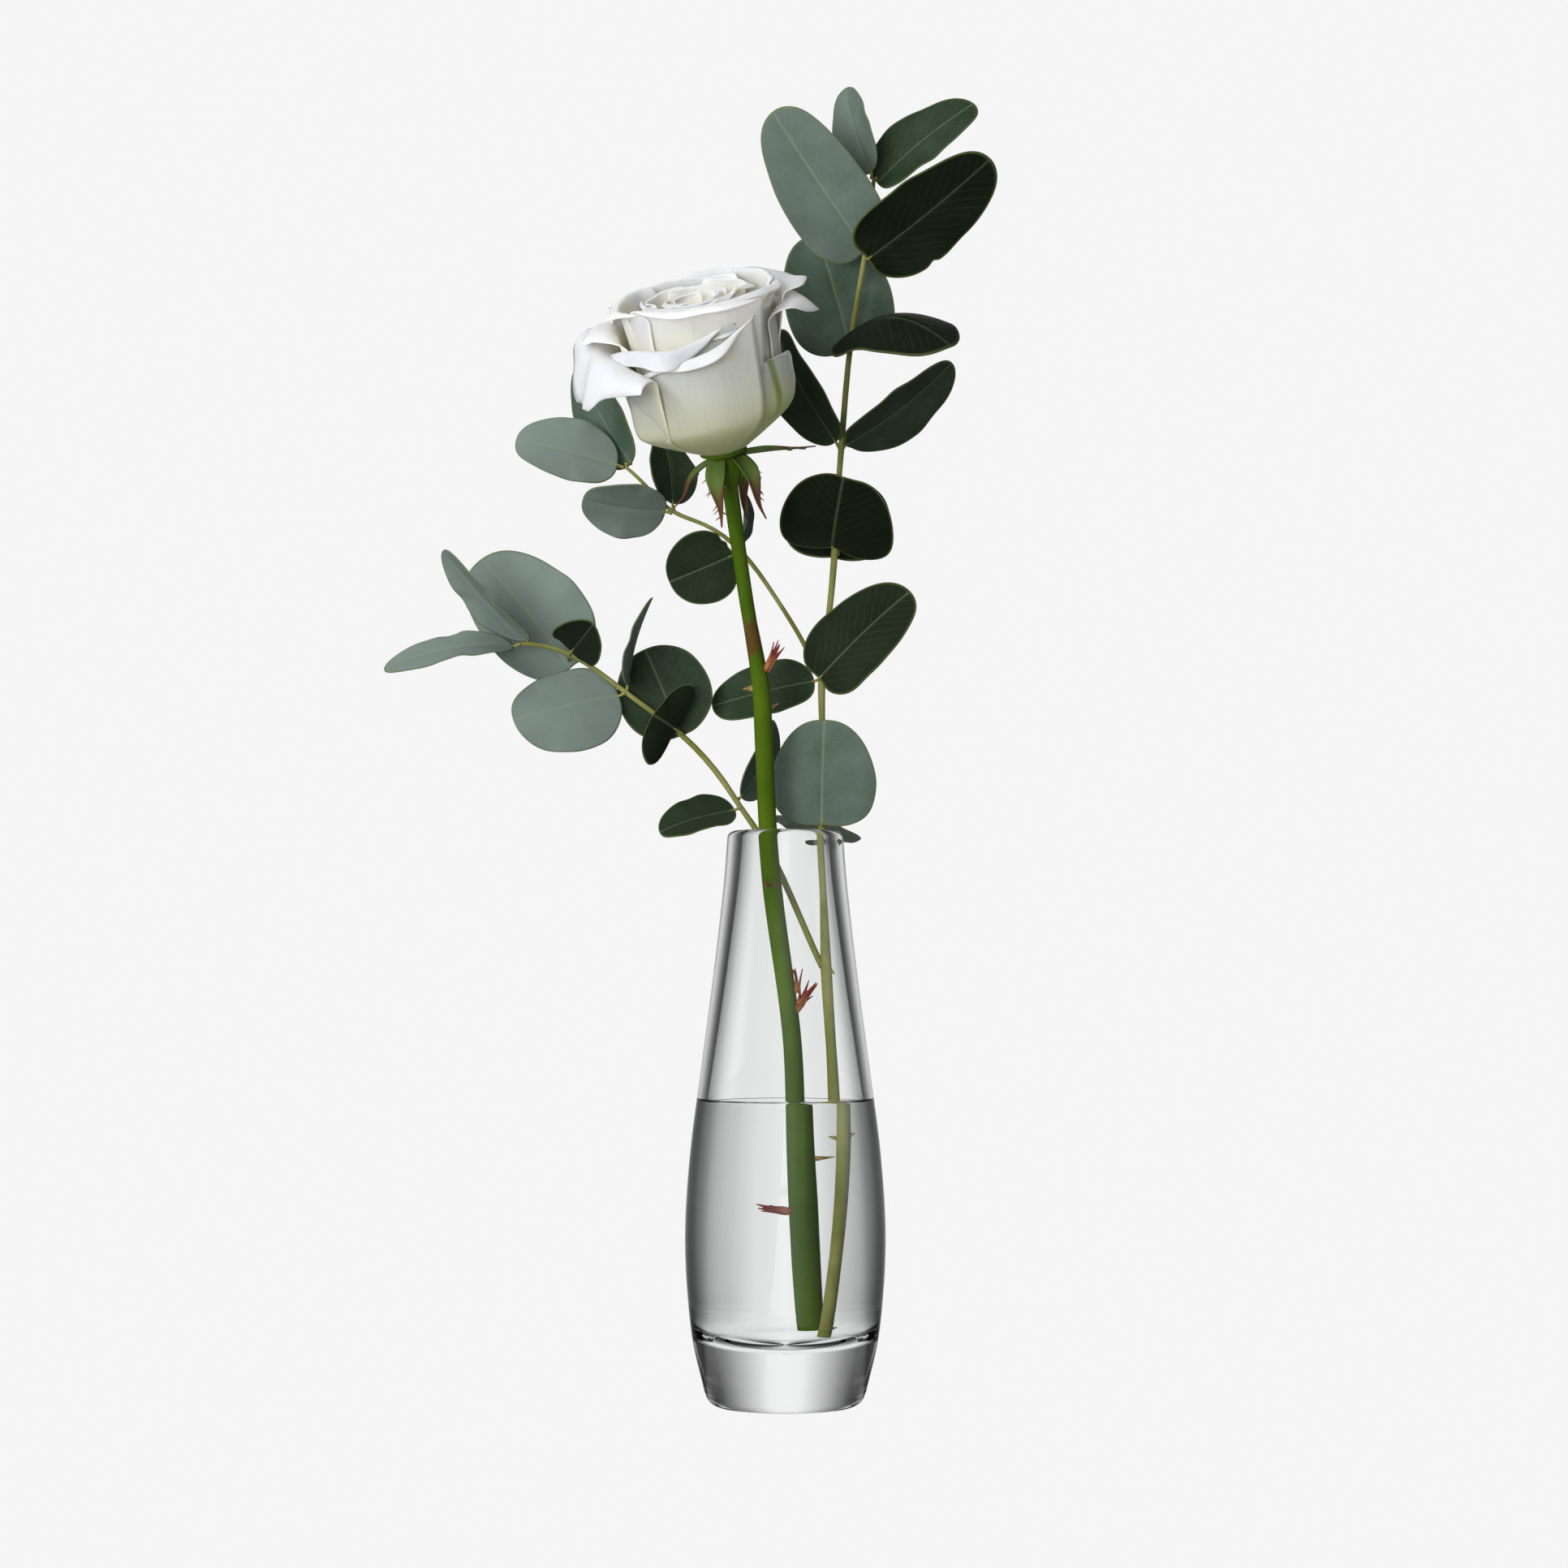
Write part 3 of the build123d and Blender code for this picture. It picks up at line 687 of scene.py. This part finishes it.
def make_water(finish):
    """The water fills the bowl a little into the glass, so that no air lies between them, and its
    surface curls up at the wall."""
    bowl = profile_line(BOWL_FLOOR, BOWL_STEPS)[::-1]
    wall = profile_line(INNER_WALL, FINE_WALL_STEPS)
    wall = wall[wall[:, 1] < WATER_LEVEL + MENISCUS_RISE]
    side = np.vstack([bowl, wall[1:]])
    side[1:, 0] += WATER_BITE
    side[0, 1] -= WATER_BITE
    edge = side[-1]
    reach = np.linspace(0, 1, 14)[1:]
    curl_r = edge[0] - reach * MENISCUS_WIDTH
    curl_z = WATER_LEVEL + MENISCUS_RISE * np.exp(-reach * MENISCUS_FALL)
    top = np.array([(edge[0] * share, WATER_LEVEL) for share in (0.6, 0.3, 0.0)])
    profile = np.vstack([side, np.stack([curl_r, curl_z], axis=-1), top])
    turned = lathe(profile, WATER_SPOKES)
    mesh = grid_mesh("water_body", turned, wrap=True, first_pole=True, last_pole=True)
    piece("water_body", mesh, "vase", "water", finish, ["water"])


# ---------------------------------------------------------------- leaves
def plane_of(points, start):
    """The heading, sideways and upright directions of a nearly flat set of points. It heads away from
    its start and its face is turned to the front."""
    centre = points.mean(axis=0)
    spread = np.linalg.svd(points - centre, full_matrices=False)[2]
    upright = spread[2] * (1.0 if spread[2][1] < 0 else -1.0)
    heading = centre - start
    heading = unit(heading - upright * heading.dot(upright))
    return heading, np.cross(upright, heading), upright


def polynomial(a, c, order=3):
    """Every product of powers of a and c up to the order."""
    terms = [a**i * c**j for i in range(order + 1) for j in range(order + 1 - i)]
    return np.stack(terms, axis=-1)


def gaps_between(points, others, batches=16):
    """How far each point is from the nearest of the others, in batches so that the arrays stay small."""
    nearest = []
    for batch in np.array_split(points, batches):
        steps = batch[:, None] - others[None]
        nearest.append(np.min(np.sum(steps**2, axis=-1), axis=1))
    return np.concatenate(nearest) ** 0.5


def leaf_grid(name, twig_points, wave, rings=22, spokes=120):
    """A blade over the CAD leaf's own outline. The outline is its farthest point in each direction
    from the middle, and the height is the cubic surface that fits it best. Sines of 3, 5 and 8 turns,
    growing with the cube of the share from middle to edge, wave the margin, and a bell-shaped groove
    runs along the midrib."""
    points = node_points(name)
    gap = gaps_between(points, twig_points)
    start = points[np.argmin(gap)]
    blade = points[gap > JOINT_REACH]
    heading, across, upright = plane_of(blade, start)
    middle = blade.mean(axis=0)
    a, c, h = [(blade - middle) @ axis for axis in (heading, across, upright)]
    scale = max(a.max() - a.min(), c.max() - c.min()) / 2
    fit = np.linalg.lstsq(polynomial(a / scale, c / scale), h, rcond=None)[0]
    turn = np.arctan2(c, a)
    reach = np.hypot(a, c)
    bins = np.linspace(-math.pi, math.pi, OUTLINE_DIRECTIONS + 1)
    slot = np.digitize(turn, bins) - 1
    farthest = [np.flatnonzero(slot == b)[np.argmax(reach[slot == b])] for b in np.unique(slot)]
    order = np.argsort(turn[farthest])
    known_turn = turn[farthest][order]
    known_reach = reach[farthest][order]
    angle = np.linspace(-math.pi, math.pi, spokes, endpoint=False)
    outline = np.interp(angle, known_turn, known_reach, period=2 * math.pi)
    kernel = np.array([0.25, 0.5, 0.25])
    for _ in range(2):
        ring = np.concatenate([outline[-1:], outline, outline[:1]])
        outline = np.convolve(ring, kernel, "valid")
    share = np.linspace(0, 1, rings) ** 0.8
    ga = share[:, None] * (outline * np.cos(angle))[None, :]
    gc = share[:, None] * (outline * np.sin(angle))[None, :]
    height = polynomial(ga / scale, gc / scale) @ fit
    phase = random.uniform(0, 2 * math.pi, 3)
    lift = 0.6 * np.sin(3 * angle + phase[0]) + 0.4 * np.sin(5 * angle + phase[1])
    lift = lift + 0.25 * np.sin(8 * angle + phase[2])
    height = height + wave * MM * (share[:, None] ** 3) * lift[None, :]
    height = height - MIDRIB_DEPTH * np.exp(-((gc / MIDRIB_WIDTH) ** 2)) * (1 - share[:, None] ** 4)
    grid = middle + ga[..., None] * heading + gc[..., None] * across + height[..., None] * upright
    length = a.max() - a.min()
    width = c.max() - c.min()
    maps = np.stack([(ga - a.min()) / length, 0.5 + gc / width], axis=-1)
    return grid, maps, share, start, heading


# Each leaf in turn along its twig: how much pale waxy bloom it carries together with painted shade (a low
# value paints a leaf in shade dark), and how far its margin waves, in mm.
LEAF_LOOKS = {
    "main_leaf": [
        (0.65, 0.7), (0.6, 0.6), (0.25, 0.7), (0.4, 0.7), (0.1, 1.0), (0.1, 0.8), (0.35, 0.5),
        (0.4, 0.5), (0.1, 0.8), (0.6, 0.8), (0.7, 0.6), (0.1, 0.9), (0.4, 0.6), (0.7, 0.5),
    ],
    "low_leaf": [
        (0.35, 0.5), (0.6, 0.4), (0.15, 0.6), (0.4, 0.8), (0.85, 0.7),
        (0.8, 0.4), (0.1, 0.5), (0.85, 1.2), (0.9, 0.6), (0.9, 0.6),
    ],
    "high_leaf": [(0.3, 0.6), (0.6, 0.4), (0.75, 0.6), (0.4, 0.5), (0.9, 0.6), (0.6, 0.5)],
}
TWIG_OF = {"main_leaf": "eucalyptus_stem", "low_leaf": "low_branch", "high_leaf": "high_branch"}


def make_leaf(name, twig_points, wax, wave, finish, twig):
    """One leaf blade, with a short stalk that tapers from inside the twig on to the blade."""
    grid, maps, share, start, heading = leaf_grid(name, twig_points, wave)
    mesh = grid_mesh("blade_" + name, grid, wrap=True, first_pole=True, maps=maps)
    # The leaf's first number, its waxy bloom together with painted shade, goes on as an attribute.
    piece("blade_" + name, mesh, "eucalyptus", "leaf", finish, [name], LEAF_THICKNESS, wax=wax)
    rim = np.concatenate([[0.0], np.repeat(share[1:], grid.shape[1])]).astype(np.float32)
    mesh.attributes.new("edge", "FLOAT", "POINT").data.foreach_set("value", rim)
    near = grid.reshape(-1, 3)
    foot = near[np.argmin(np.sum((near - start) ** 2, axis=1))]
    inner = start + (start - foot) * 0.15
    path = curve_through([inner, (inner + foot) / 2, foot, foot + heading * STALK_OVERLAP], STALK_STEPS)
    tube = tube_grid(path, np.linspace(*STALK_RADII, STALK_STEPS))
    stalk = grid_mesh("stalk_" + name, tube, wrap=True, first_pole=True, last_pole=True)
    piece("stalk_" + name, stalk, "eucalyptus", "twig", twig)


def make_leaves(finish, twig):
    """Every leaf of the three twigs."""
    for kind, looks in LEAF_LOOKS.items():
        twig_points = node_points(TWIG_OF[kind])
        for number, (wax, wave) in enumerate(looks, 1):
            make_leaf(f"{kind}_{number}", twig_points, wax, wave, finish, twig)


# ---------------------------------------------------------------- the bloom
def bloom_frame():
    """Where the bloom stands: the top of the hip, then its right, its back and its axis. Every ring of
    petals is even about the axis, so the middles of the hip and of the outer ring lie on it."""
    hip = node_points("rose_hip")
    ring = np.concatenate([node_points(f"outer_petal_{number}") for number in range(1, 6)])
    axis = unit(ring.mean(axis=0) - hip.mean(axis=0))
    base = hip.mean(axis=0) + axis * np.max((hip - hip.mean(axis=0)) @ axis)
    right = unit(np.array([1.0, 0.0, 0.19]) - axis * axis.dot([1.0, 0.0, 0.19]))
    return base, right, np.cross(axis, right), axis


# Each petal, in mm and degrees: direction, half its width, then its belly (radius, height) and its lip
# (radius, height), how far the lip rolls outwards and drops, how the lip tilts and the radius grows from
# one side to the other, point, ruffle, how round the outline is, warmth and streak.
PETALS = {
    "outer_petal_1": (-106, 53, 26.0, 14.0, 26.0, 32.8, 2.6, 1.6, 0.27, -0.05, 0.0, 1.6, 0.22, 0.6, 0.0),
    "outer_petal_2": (-38, 46, 23.4, 15.0, 22.6, 26.0, 0.6, 0.2, -0.05, 0.0, 0.0, 0.6, 0.4, 1.5, 1.0),
    "outer_petal_3": (12, 44, 21.3, 17.0, 23.3, 38.0, 12.5, 4.5, 0.0, 0.03, 0.0, 0.9, 0.3, 0.5, 0.0),
    "outer_petal_4": (110, 58, 23.0, 18.0, 25.0, 43.0, 3.0, 1.5, 0.0, 0.05, 0.05, 1.4, 0.3, 0.3, 0.0),
    "outer_petal_5": (200, 41, 24.5, 13.0, 27.5, 33.5, 14.5, 11.0, -0.13, 0.03, 0.12, 1.5, 0.06, 0.5, 0.0),
    "middle_petal_1": (-42, 48, 20.5, 22.0, 21.5, 41.0, 2.5, 1.0, 0.08, -0.04, 0.05, 1.1, 0.3, 0.3, 0.0),
    "middle_petal_2": (30, 42, 21.5, 22.0, 27.0, 42.0, 9.0, -0.5, 0.0, 0.03, 0.0, 0.9, 0.3, 0.3, 0.0),
    "middle_petal_3": (82, 54, 20.5, 22.0, 24.5, 44.5, 2.5, 0.2, 0.0, 0.03, 0.0, 1.3, 0.3, 0.2, 0.0),
    "middle_petal_4": (178, 40, 21.0, 20.0, 24.5, 39.5, 9.5, 1.0, 0.02, 0.03, 0.35, 1.4, 0.25, 0.3, 0.0),
    "middle_petal_5": (-126, 60, 22.0, 17.0, 24.0, 36.0, 5.0, 3.0, 0.12, -0.06, 0.05, 1.9, 0.22, 0.3, 0.0),
}
# Where the petals' feet stand on the hip: radius and height, in mm.
OUTER_FOOT = (6.9, -0.6)
INNER_FOOT = (3.2, 1.6)
LINE_STEPS = 160
# The turn from one inner petal to the next, in degrees.
NEXT_PETAL = 137.5
# Inner rings: count, belly radius, lip radius, height, half width, roll, drop, first direction, and how
# much smaller the last petal is than the first.
INNER_RINGS = {
    "inner_petals": (5, 20.5, 23.5, 46.5, 54.0, 3.4, 0.6, -97.0, 0.16),
    "heart_petals": (8, 15.5, 16.5, 46.0, 60.0, 1.8, 0.3, -118.0, 0.76),
}


def petal_sheet(place, spec, foot, rows=34, columns=45):
    """One petal in the bloom's frame. A point lies at share u from foot to lip and t across. Its radius
    and height follow a line from the foot out to the belly, up to the lip and over it. The sides stop
    short of the lip by the cube of t, so that the outline is round. The lip tilts with t, and waves by
    sums of sines that grow with the third and fourth powers of u."""
    turn, half, belly, belly_height, lip, height, roll, drop, tilt, skew, point, ruffle, roundness = spec
    base, right, back, axis = place
    u = np.linspace(0, 1, rows)[:, None]
    t = np.linspace(-1, 1, columns)[None, :]
    rise = [
        foot,
        (belly * 0.62, belly_height * 0.3),
        (belly * 0.91, belly_height * 0.66),
        (belly, belly_height),
        (belly * 0.35 + lip * 0.65, (belly_height + 2 * height) / 3),
        (lip, height),
        (lip + roll * 0.55, height + 0.12 * roll),
        (lip + roll, height - drop),
    ]
    line = curve_through(rise, LINE_STEPS)
    reach = u * (1 - roundness * np.abs(t) ** 3 + point * (np.exp(-((t / 0.4) ** 2)) - 0.6) * u**2)
    along = np.clip(reach, 0, 1) * (LINE_STEPS - 1)
    r = np.interp(along, np.arange(LINE_STEPS), line[:, 0])
    h = np.interp(along, np.arange(LINE_STEPS), line[:, 1])
    phase = random.uniform(0, 2 * math.pi, 5)
    waves = np.sin(3.3 * t + phase[0]) + 0.55 * np.sin(6.9 * t + phase[1])
    waves = waves + 0.4 * np.sin(13.0 * t + phase[4])
    lifts = np.sin(2.8 * t + phase[2]) + 0.6 * np.sin(6.1 * t + phase[3])
    r = r * (1 + (skew + 0.03) * t) + ruffle * u**4 * waves + roll * 0.12 * np.abs(t) ** 4 * u**3
    h = h * (1 + tilt * t * u) + 0.8 * ruffle * u**3 * lifts
    dent = np.sin(2.2 * t + 5.0 * u + phase[4]) * np.sin(3.0 * u + phase[0])
    r = r + 0.35 * dent * u
    angle = np.radians(turn + half * t * (0.62 + 0.38 * u**0.5))
    flat = (r * np.cos(angle))[..., None] * right + (r * np.sin(angle))[..., None] * back
    points = base + (flat + h[..., None] * axis) * MM
    maps = np.stack(np.broadcast_arrays(u * (1 - 0.12 * t**2), 0.5 + 0.5 * t), axis=-1)
    return points, maps


def make_bloom(finish):
    """The outer and middle petals one by one, and the inner rings as one piece each, wound tighter
    towards the middle so that the heart is a spiral."""
    place = bloom_frame()
    for name, (*spec, warmth, streak) in PETALS.items():
        foot = OUTER_FOOT if name.startswith("outer") else INNER_FOOT
        mesh = sheets_mesh(name + "_curled", [petal_sheet(place, spec, foot)])
        looks = {"warmth": warmth, "streak": streak}
        piece(name + "_curled", mesh, "rose", "petal", finish, [name], PETAL_THICKNESS, **looks)
    for name, (count, belly, lip, height, half, roll, drop, first, shrink) in INNER_RINGS.items():
        sheets = []
        for number in range(count):
            share = 1 - shrink * number / count
            turn = first + number * NEXT_PETAL
            size = (belly * share, height * 0.5, lip * share, height - number * 0.2, roll * share, drop)
            spec = (turn, half) + size + (0.0, 0.05, 0.05, 0.9 * share, 0.3)
            sheets.append(petal_sheet(place, spec, INNER_FOOT))
        mesh = sheets_mesh(name + "_wound", sheets)
        looks = {"warmth": 0.2, "streak": 0.0}
        piece(name + "_wound", mesh, "rose", "petal", finish, [name], PETAL_THICKNESS, **looks)


def ribbon(path, widths, facing, fold, rows=26, columns=9):
    """A narrow blade along a path: at share t across it lies half a width to the side, lifted towards
    its face by the fold times t squared."""
    line = curve_through(path, rows)
    along = unit(np.gradient(line, axis=0))
    across = unit(np.cross(along, facing))
    upright = np.cross(across, along)
    width = np.interp(np.linspace(0, 1, rows), np.linspace(0, 1, len(widths)), widths)
    t = np.linspace(-1, 1, columns)
    points = line[:, None] + (width[:, None] / 2 * t)[..., None] * across[:, None]
    points = points + (fold * width[:, None] * t**2)[..., None] * upright[:, None]
    maps = np.stack(np.broadcast_arrays(np.linspace(0, 1, rows)[:, None], 0.5 + 0.5 * t), axis=-1)
    return points, maps


def sepal_teeth(path, widths, facing):
    """Hair-like teeth at random places along both sides of a sepal, leaning towards its tip."""
    line = curve_through(path, SEPAL_STEPS)
    along = unit(np.gradient(line, axis=0))
    side = unit(np.cross(along, facing))
    teeth = []
    for _ in range(TEETH):
        at = random.integers(*TOOTH_STEPS)
        hand = random.choice([-1.0, 1.0])
        half = np.interp(at / (SEPAL_STEPS - 1), np.linspace(0, 1, len(widths)), widths) / 2
        root = line[at] + side[at] * hand * half * 0.8
        lean = unit(side[at] * hand + along[at] * random.uniform(0.5, 1.6))
        lean = lean * random.uniform(*TOOTH_LENGTHS) * MM
        tooth = [root, root + lean * 0.5, root + lean]
        teeth.append(ribbon(tooth, TOOTH_WIDTHS * MM, facing, fold=0, rows=5, columns=3))
    return teeth


def make_sepals(finish):
    """Five sepals on the hip: each bows out from its foot, hangs to a long thin tip and carries a few
    hair-like teeth along its sides."""
    base, _, _, axis = bloom_frame()
    widths = SEPAL_WIDTHS * MM
    for number in range(1, 6):
        name = f"sepal_{number}"
        points = node_points(name)
        away = np.linalg.norm(points - (base - axis * 3 * MM), axis=1)
        foot = points[np.argmin(away)] - axis * SEPAL_ROOT
        tip = points[np.argmax(away)]
        outwards = unit(tip - base - axis * axis.dot(tip - base))
        length = np.linalg.norm(tip - foot)
        bend = foot + (tip - foot) * 0.4 + outwards * length * 0.13
        bow = foot + (bend - foot) * 0.5 + outwards * length * 0.06
        path = [foot, bow, bend, foot + (tip - foot) * 0.75, tip]
        sheets = [ribbon(path, widths, outwards, fold=0.16)]
        sheets += sepal_teeth(path, widths, outwards)
        mesh = sheets_mesh(name + "_hanging", sheets)
        piece(name + "_hanging", mesh, "rose", "sepal", finish, [name], SEPAL_THICKNESS)


# Growths made of small scales: by CAD node, each tuft's foot (mm), direction, length (mm), how far the
# scales spread, and how many there are.
GROWTHS = {
    "rose_side_buds": [
        ((1.2, 5.0, 57.0), (-1.0, -0.25, 0.15), 8.0, 0.3, 7),
        ((-4.9, -5.2, 153.5), (-0.35, -1.0, 0.6), 2.4, 0.5, 5),
        ((-5.8, -8.8, 217.0), (0.55, -0.35, 1.0), 11.0, 0.22, 7),
    ],
    "torn_shoot": [
        ((3.2, 0.8, 116.5), (0.6, -0.15, 1.0), 12.0, 0.28, 9),
        ((3.6, 0.6, 122.0), (0.1, -0.2, 1.0), 10.0, 0.35, 4),
    ],
}


def make_growths(finish):
    """Buds and torn ends as tufts of narrow pointed scales that fan out from one foot."""
    for node, tufts in GROWTHS.items():
        sheets = []
        for foot, direction, length, spread, count in tufts:
            foot = np.array(foot) * MM
            direction = unit(np.array(direction))
            for _ in range(count):
                lean = random.normal(0, spread, 3)
                way = unit(direction + lean)
                size = length * random.uniform(0.55, 1.0) * MM
                bend = unit(direction + lean * 0.4)
                path = [foot, foot + bend * size * 0.5, foot + bend * size * 0.5 + way * size * 0.5]
                widths = SCALE_WIDTHS * MM * min(1.0, length / NARROWED_TUFT)
                face = unit(lean - way * way.dot(lean) + 1e-6)
                sheets.append(ribbon(path, widths, face, fold=0.25, rows=12, columns=5))
        mesh = sheets_mesh(node + "_scales", sheets)
        piece(node + "_scales", mesh, "rose", "bud", finish, [node], SCALE_THICKNESS)


# ---------------------------------------------------------------- assembly
def make_object():
    """All the pieces, body by body."""
    glass = clear_finish("clear_glass", GLASS_IOR, GLASS_TINT)
    water = clear_finish("water", WATER_IOR, WATER_TINT)
    leaf = leaf_finish()
    twig = twig_finish()
    stem = stem_finish()
    petal = petal_finish()
    bud = green_finish("bud_scales", BUD_RED, BUD_TAN, BUD_TIP, scale=500.0)
    sepal = green_finish("sepal", SEPAL_GREEN, SEPAL_PALE, SEPAL_TIP)
    make_glass(glass)
    make_water(water)
    make_leaves(leaf, twig)
    make_bloom(petal)
    make_sepals(sepal)
    make_growths(bud)
    thorn = speckled_finish("thorn", THORN_BROWN, THORN_TAN, scale=500.0)
    dress = {"rose_stem": stem, "rose_hip": stem, "rose_thorns": thorn}
    dress.update({"eucalyptus_stem": twig, "low_branch": twig, "high_branch": twig, "twig_stubs": twig})
    for name, finish in dress.items():
        nodes[name].data.materials.clear()
        nodes[name].data.materials.append(finish)


make_studio()
make_object()
